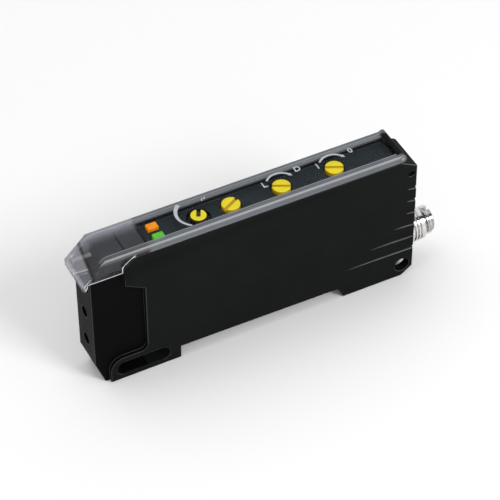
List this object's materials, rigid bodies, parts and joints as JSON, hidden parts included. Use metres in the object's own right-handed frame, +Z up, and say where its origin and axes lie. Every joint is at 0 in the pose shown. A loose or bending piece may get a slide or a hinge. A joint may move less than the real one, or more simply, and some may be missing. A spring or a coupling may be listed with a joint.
{
  "type": "fibre optic sensor amplifier",
  "caption": "Slim black sensor amplifier with a hinged smoked clear cover over yellow adjustment dials and lamps, fibre ports at one end and a threaded plug at the other.",
  "frame": {"origin": "middle of the whole length and width, at the bottom of the feet", "axes": "+X from the fibre face towards the plug, +Y across the case towards the side lid, +Z up to the clear cover"},
  "size_m": [0.105, 0.012, 0.0444],
  "materials": {
    "case_black": "fine moulded texture, black",
    "panel_black": "smooth blue-black printed plate",
    "smoked_clear": "clear, slightly smoked, polished",
    "dial_yellow": "bright yellow moulding",
    "lens_orange": "clear tinted orange",
    "lens_green": "clear tinted green",
    "grey_plastic": "dark grey moulding",
    "trimmer_black": "black moulding",
    "board_green": "green solder resist",
    "lamp_white": "white lamp body",
    "chip_black": "black chip package",
    "can_metal": "bare metal can",
    "emitter_red": "clear red",
    "detector_dark": "dark filter plastic",
    "nickel": "bright nickel plate",
    "insert_black": "black insulator",
    "contact_gold": "gold plated",
    "steel": "plain steel",
    "seal_rubber": "black rubber"
  },
  "bodies": {
    "case": {"housing": "case_black", "side_cover": "case_black", "control_panel": "panel_black", "hinge_pin": "steel", "sensitivity_trimmer": "trimmer_black", "range_trimmer": "trimmer_black", "output_switch": "trimmer_black", "delay_switch": "trimmer_black", "control_board": "board_green", "led_chips": "lamp_white", "output_lens": "lens_orange", "power_lens": "lens_green", "main_board": "board_green", "board_header": "trimmer_black", "board_screws": "steel", "signal_chip": "chip_black", "driver_chip": "chip_black", "capacitor": "can_metal", "shield_can": "can_metal", "optic_block": "grey_plastic", "emitter": "emitter_red", "receiver": "detector_dark", "connector_shell": "nickel", "connector_insert": "insert_black", "contact_pins": "contact_gold", "connector_nut": "nickel", "connector_seal": "seal_rubber"},
    "cover": {"clear_cover": "smoked_clear"},
    "sensitivity_knob": {"sensitivity_dial": "dial_yellow"},
    "range_knob": {"range_dial": "dial_yellow"},
    "output_knob": {"output_dial": "dial_yellow"},
    "delay_knob": {"delay_dial": "dial_yellow"},
    "lock": {"fibre_lock": "grey_plastic"}
  },
  "joints": [
    {"name": "cover_hinge", "type": "hinge", "parent": "case", "child": "cover", "pos_m": [0.03985, 0, 0.0433], "axis": [0, 1, 0], "range_deg": [0, 110]},
    {"name": "sensitivity_turn", "type": "hinge", "parent": "case", "child": "sensitivity_knob", "pos_m": [-0.01715, 0, 0.042], "axis": [0, 0, 1], "range_deg": [-135, 135]},
    {"name": "range_turn", "type": "hinge", "parent": "case", "child": "range_knob", "pos_m": [-0.00785, 0, 0.042], "axis": [0, 0, 1], "range_deg": [-135, 135]},
    {"name": "output_turn", "type": "hinge", "parent": "case", "child": "output_knob", "pos_m": [0.00685, 0, 0.042], "axis": [0, 0, 1], "range_deg": [-160, 0]},
    {"name": "delay_turn", "type": "hinge", "parent": "case", "child": "delay_knob", "pos_m": [0.02245, 0, 0.042], "axis": [0, 0, 1], "range_deg": [-160, 0]},
    {"name": "fibre_lock_slide", "type": "slide", "parent": "case", "child": "lock", "axis": [0, 0, -1], "range_m": [0, 0.0012]}
  ]
}
